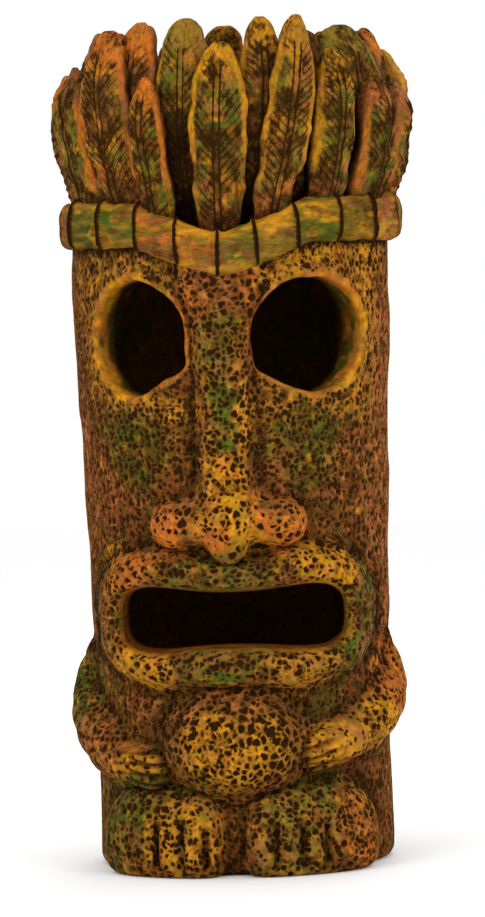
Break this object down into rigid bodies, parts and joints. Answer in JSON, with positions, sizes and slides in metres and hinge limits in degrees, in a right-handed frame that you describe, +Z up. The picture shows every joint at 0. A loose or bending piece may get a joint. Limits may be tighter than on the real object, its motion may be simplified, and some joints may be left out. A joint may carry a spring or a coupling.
{
  "type": "tiki figure ornament",
  "caption": "Hollow resin tiki figure: pitted column with open eyes and mouth, leaf crown, headband, small arms, belly and feet.",
  "frame": {"origin": "on the floor under the axis of the column, at the middle of the figure's overall width and depth", "axes": "+Z up along the column, the face looks along -Y, the figure's left hand is on +X"},
  "size_m": [0.1028, 0.1034, 0.24],
  "materials": {
    "column": "satin",
    "crown_inside": "satin",
    "headband": "satin",
    "eye_rim": "satin",
    "lips": "satin",
    "nose": "satin",
    "belly": "satin",
    "limbs": "satin",
    "leaf_front": "satin",
    "leaf_back": "satin"
  },
  "bodies": {
    "root": {"trunk_shell": "column", "crown_core": "crown_inside", "headband": "headband", "right_eye_rim": "eye_rim", "left_eye_rim": "eye_rim", "nose": "nose", "upper_lip": "lips", "lower_lip": "lips", "belly": "belly", "right_arm": "limbs", "left_arm": "limbs", "right_hand": "limbs", "left_hand": "limbs", "right_foot": "limbs", "left_foot": "limbs", "outer_leaf_01": "leaf_front", "outer_leaf_02": "leaf_front", "outer_leaf_03": "leaf_front", "outer_leaf_04": "leaf_front", "outer_leaf_05": "leaf_front", "outer_leaf_06": "leaf_front", "outer_leaf_07": "leaf_front", "outer_leaf_08": "leaf_front", "outer_leaf_09": "leaf_front", "outer_leaf_10": "leaf_front", "outer_leaf_11": "leaf_front", "outer_leaf_12": "leaf_front", "outer_leaf_13": "leaf_front", "outer_leaf_14": "leaf_front", "outer_leaf_15": "leaf_front", "inner_leaf_01": "leaf_back", "inner_leaf_02": "leaf_back", "inner_leaf_03": "leaf_back", "inner_leaf_04": "leaf_back", "inner_leaf_05": "leaf_back", "inner_leaf_06": "leaf_back", "inner_leaf_07": "leaf_back", "inner_leaf_08": "leaf_back", "inner_leaf_09": "leaf_back", "inner_leaf_10": "leaf_back", "inner_leaf_11": "leaf_back", "inner_leaf_12": "leaf_back", "inner_leaf_13": "leaf_back", "inner_leaf_14": "leaf_back", "inner_leaf_15": "leaf_back"}
  },
  "joints": []
}
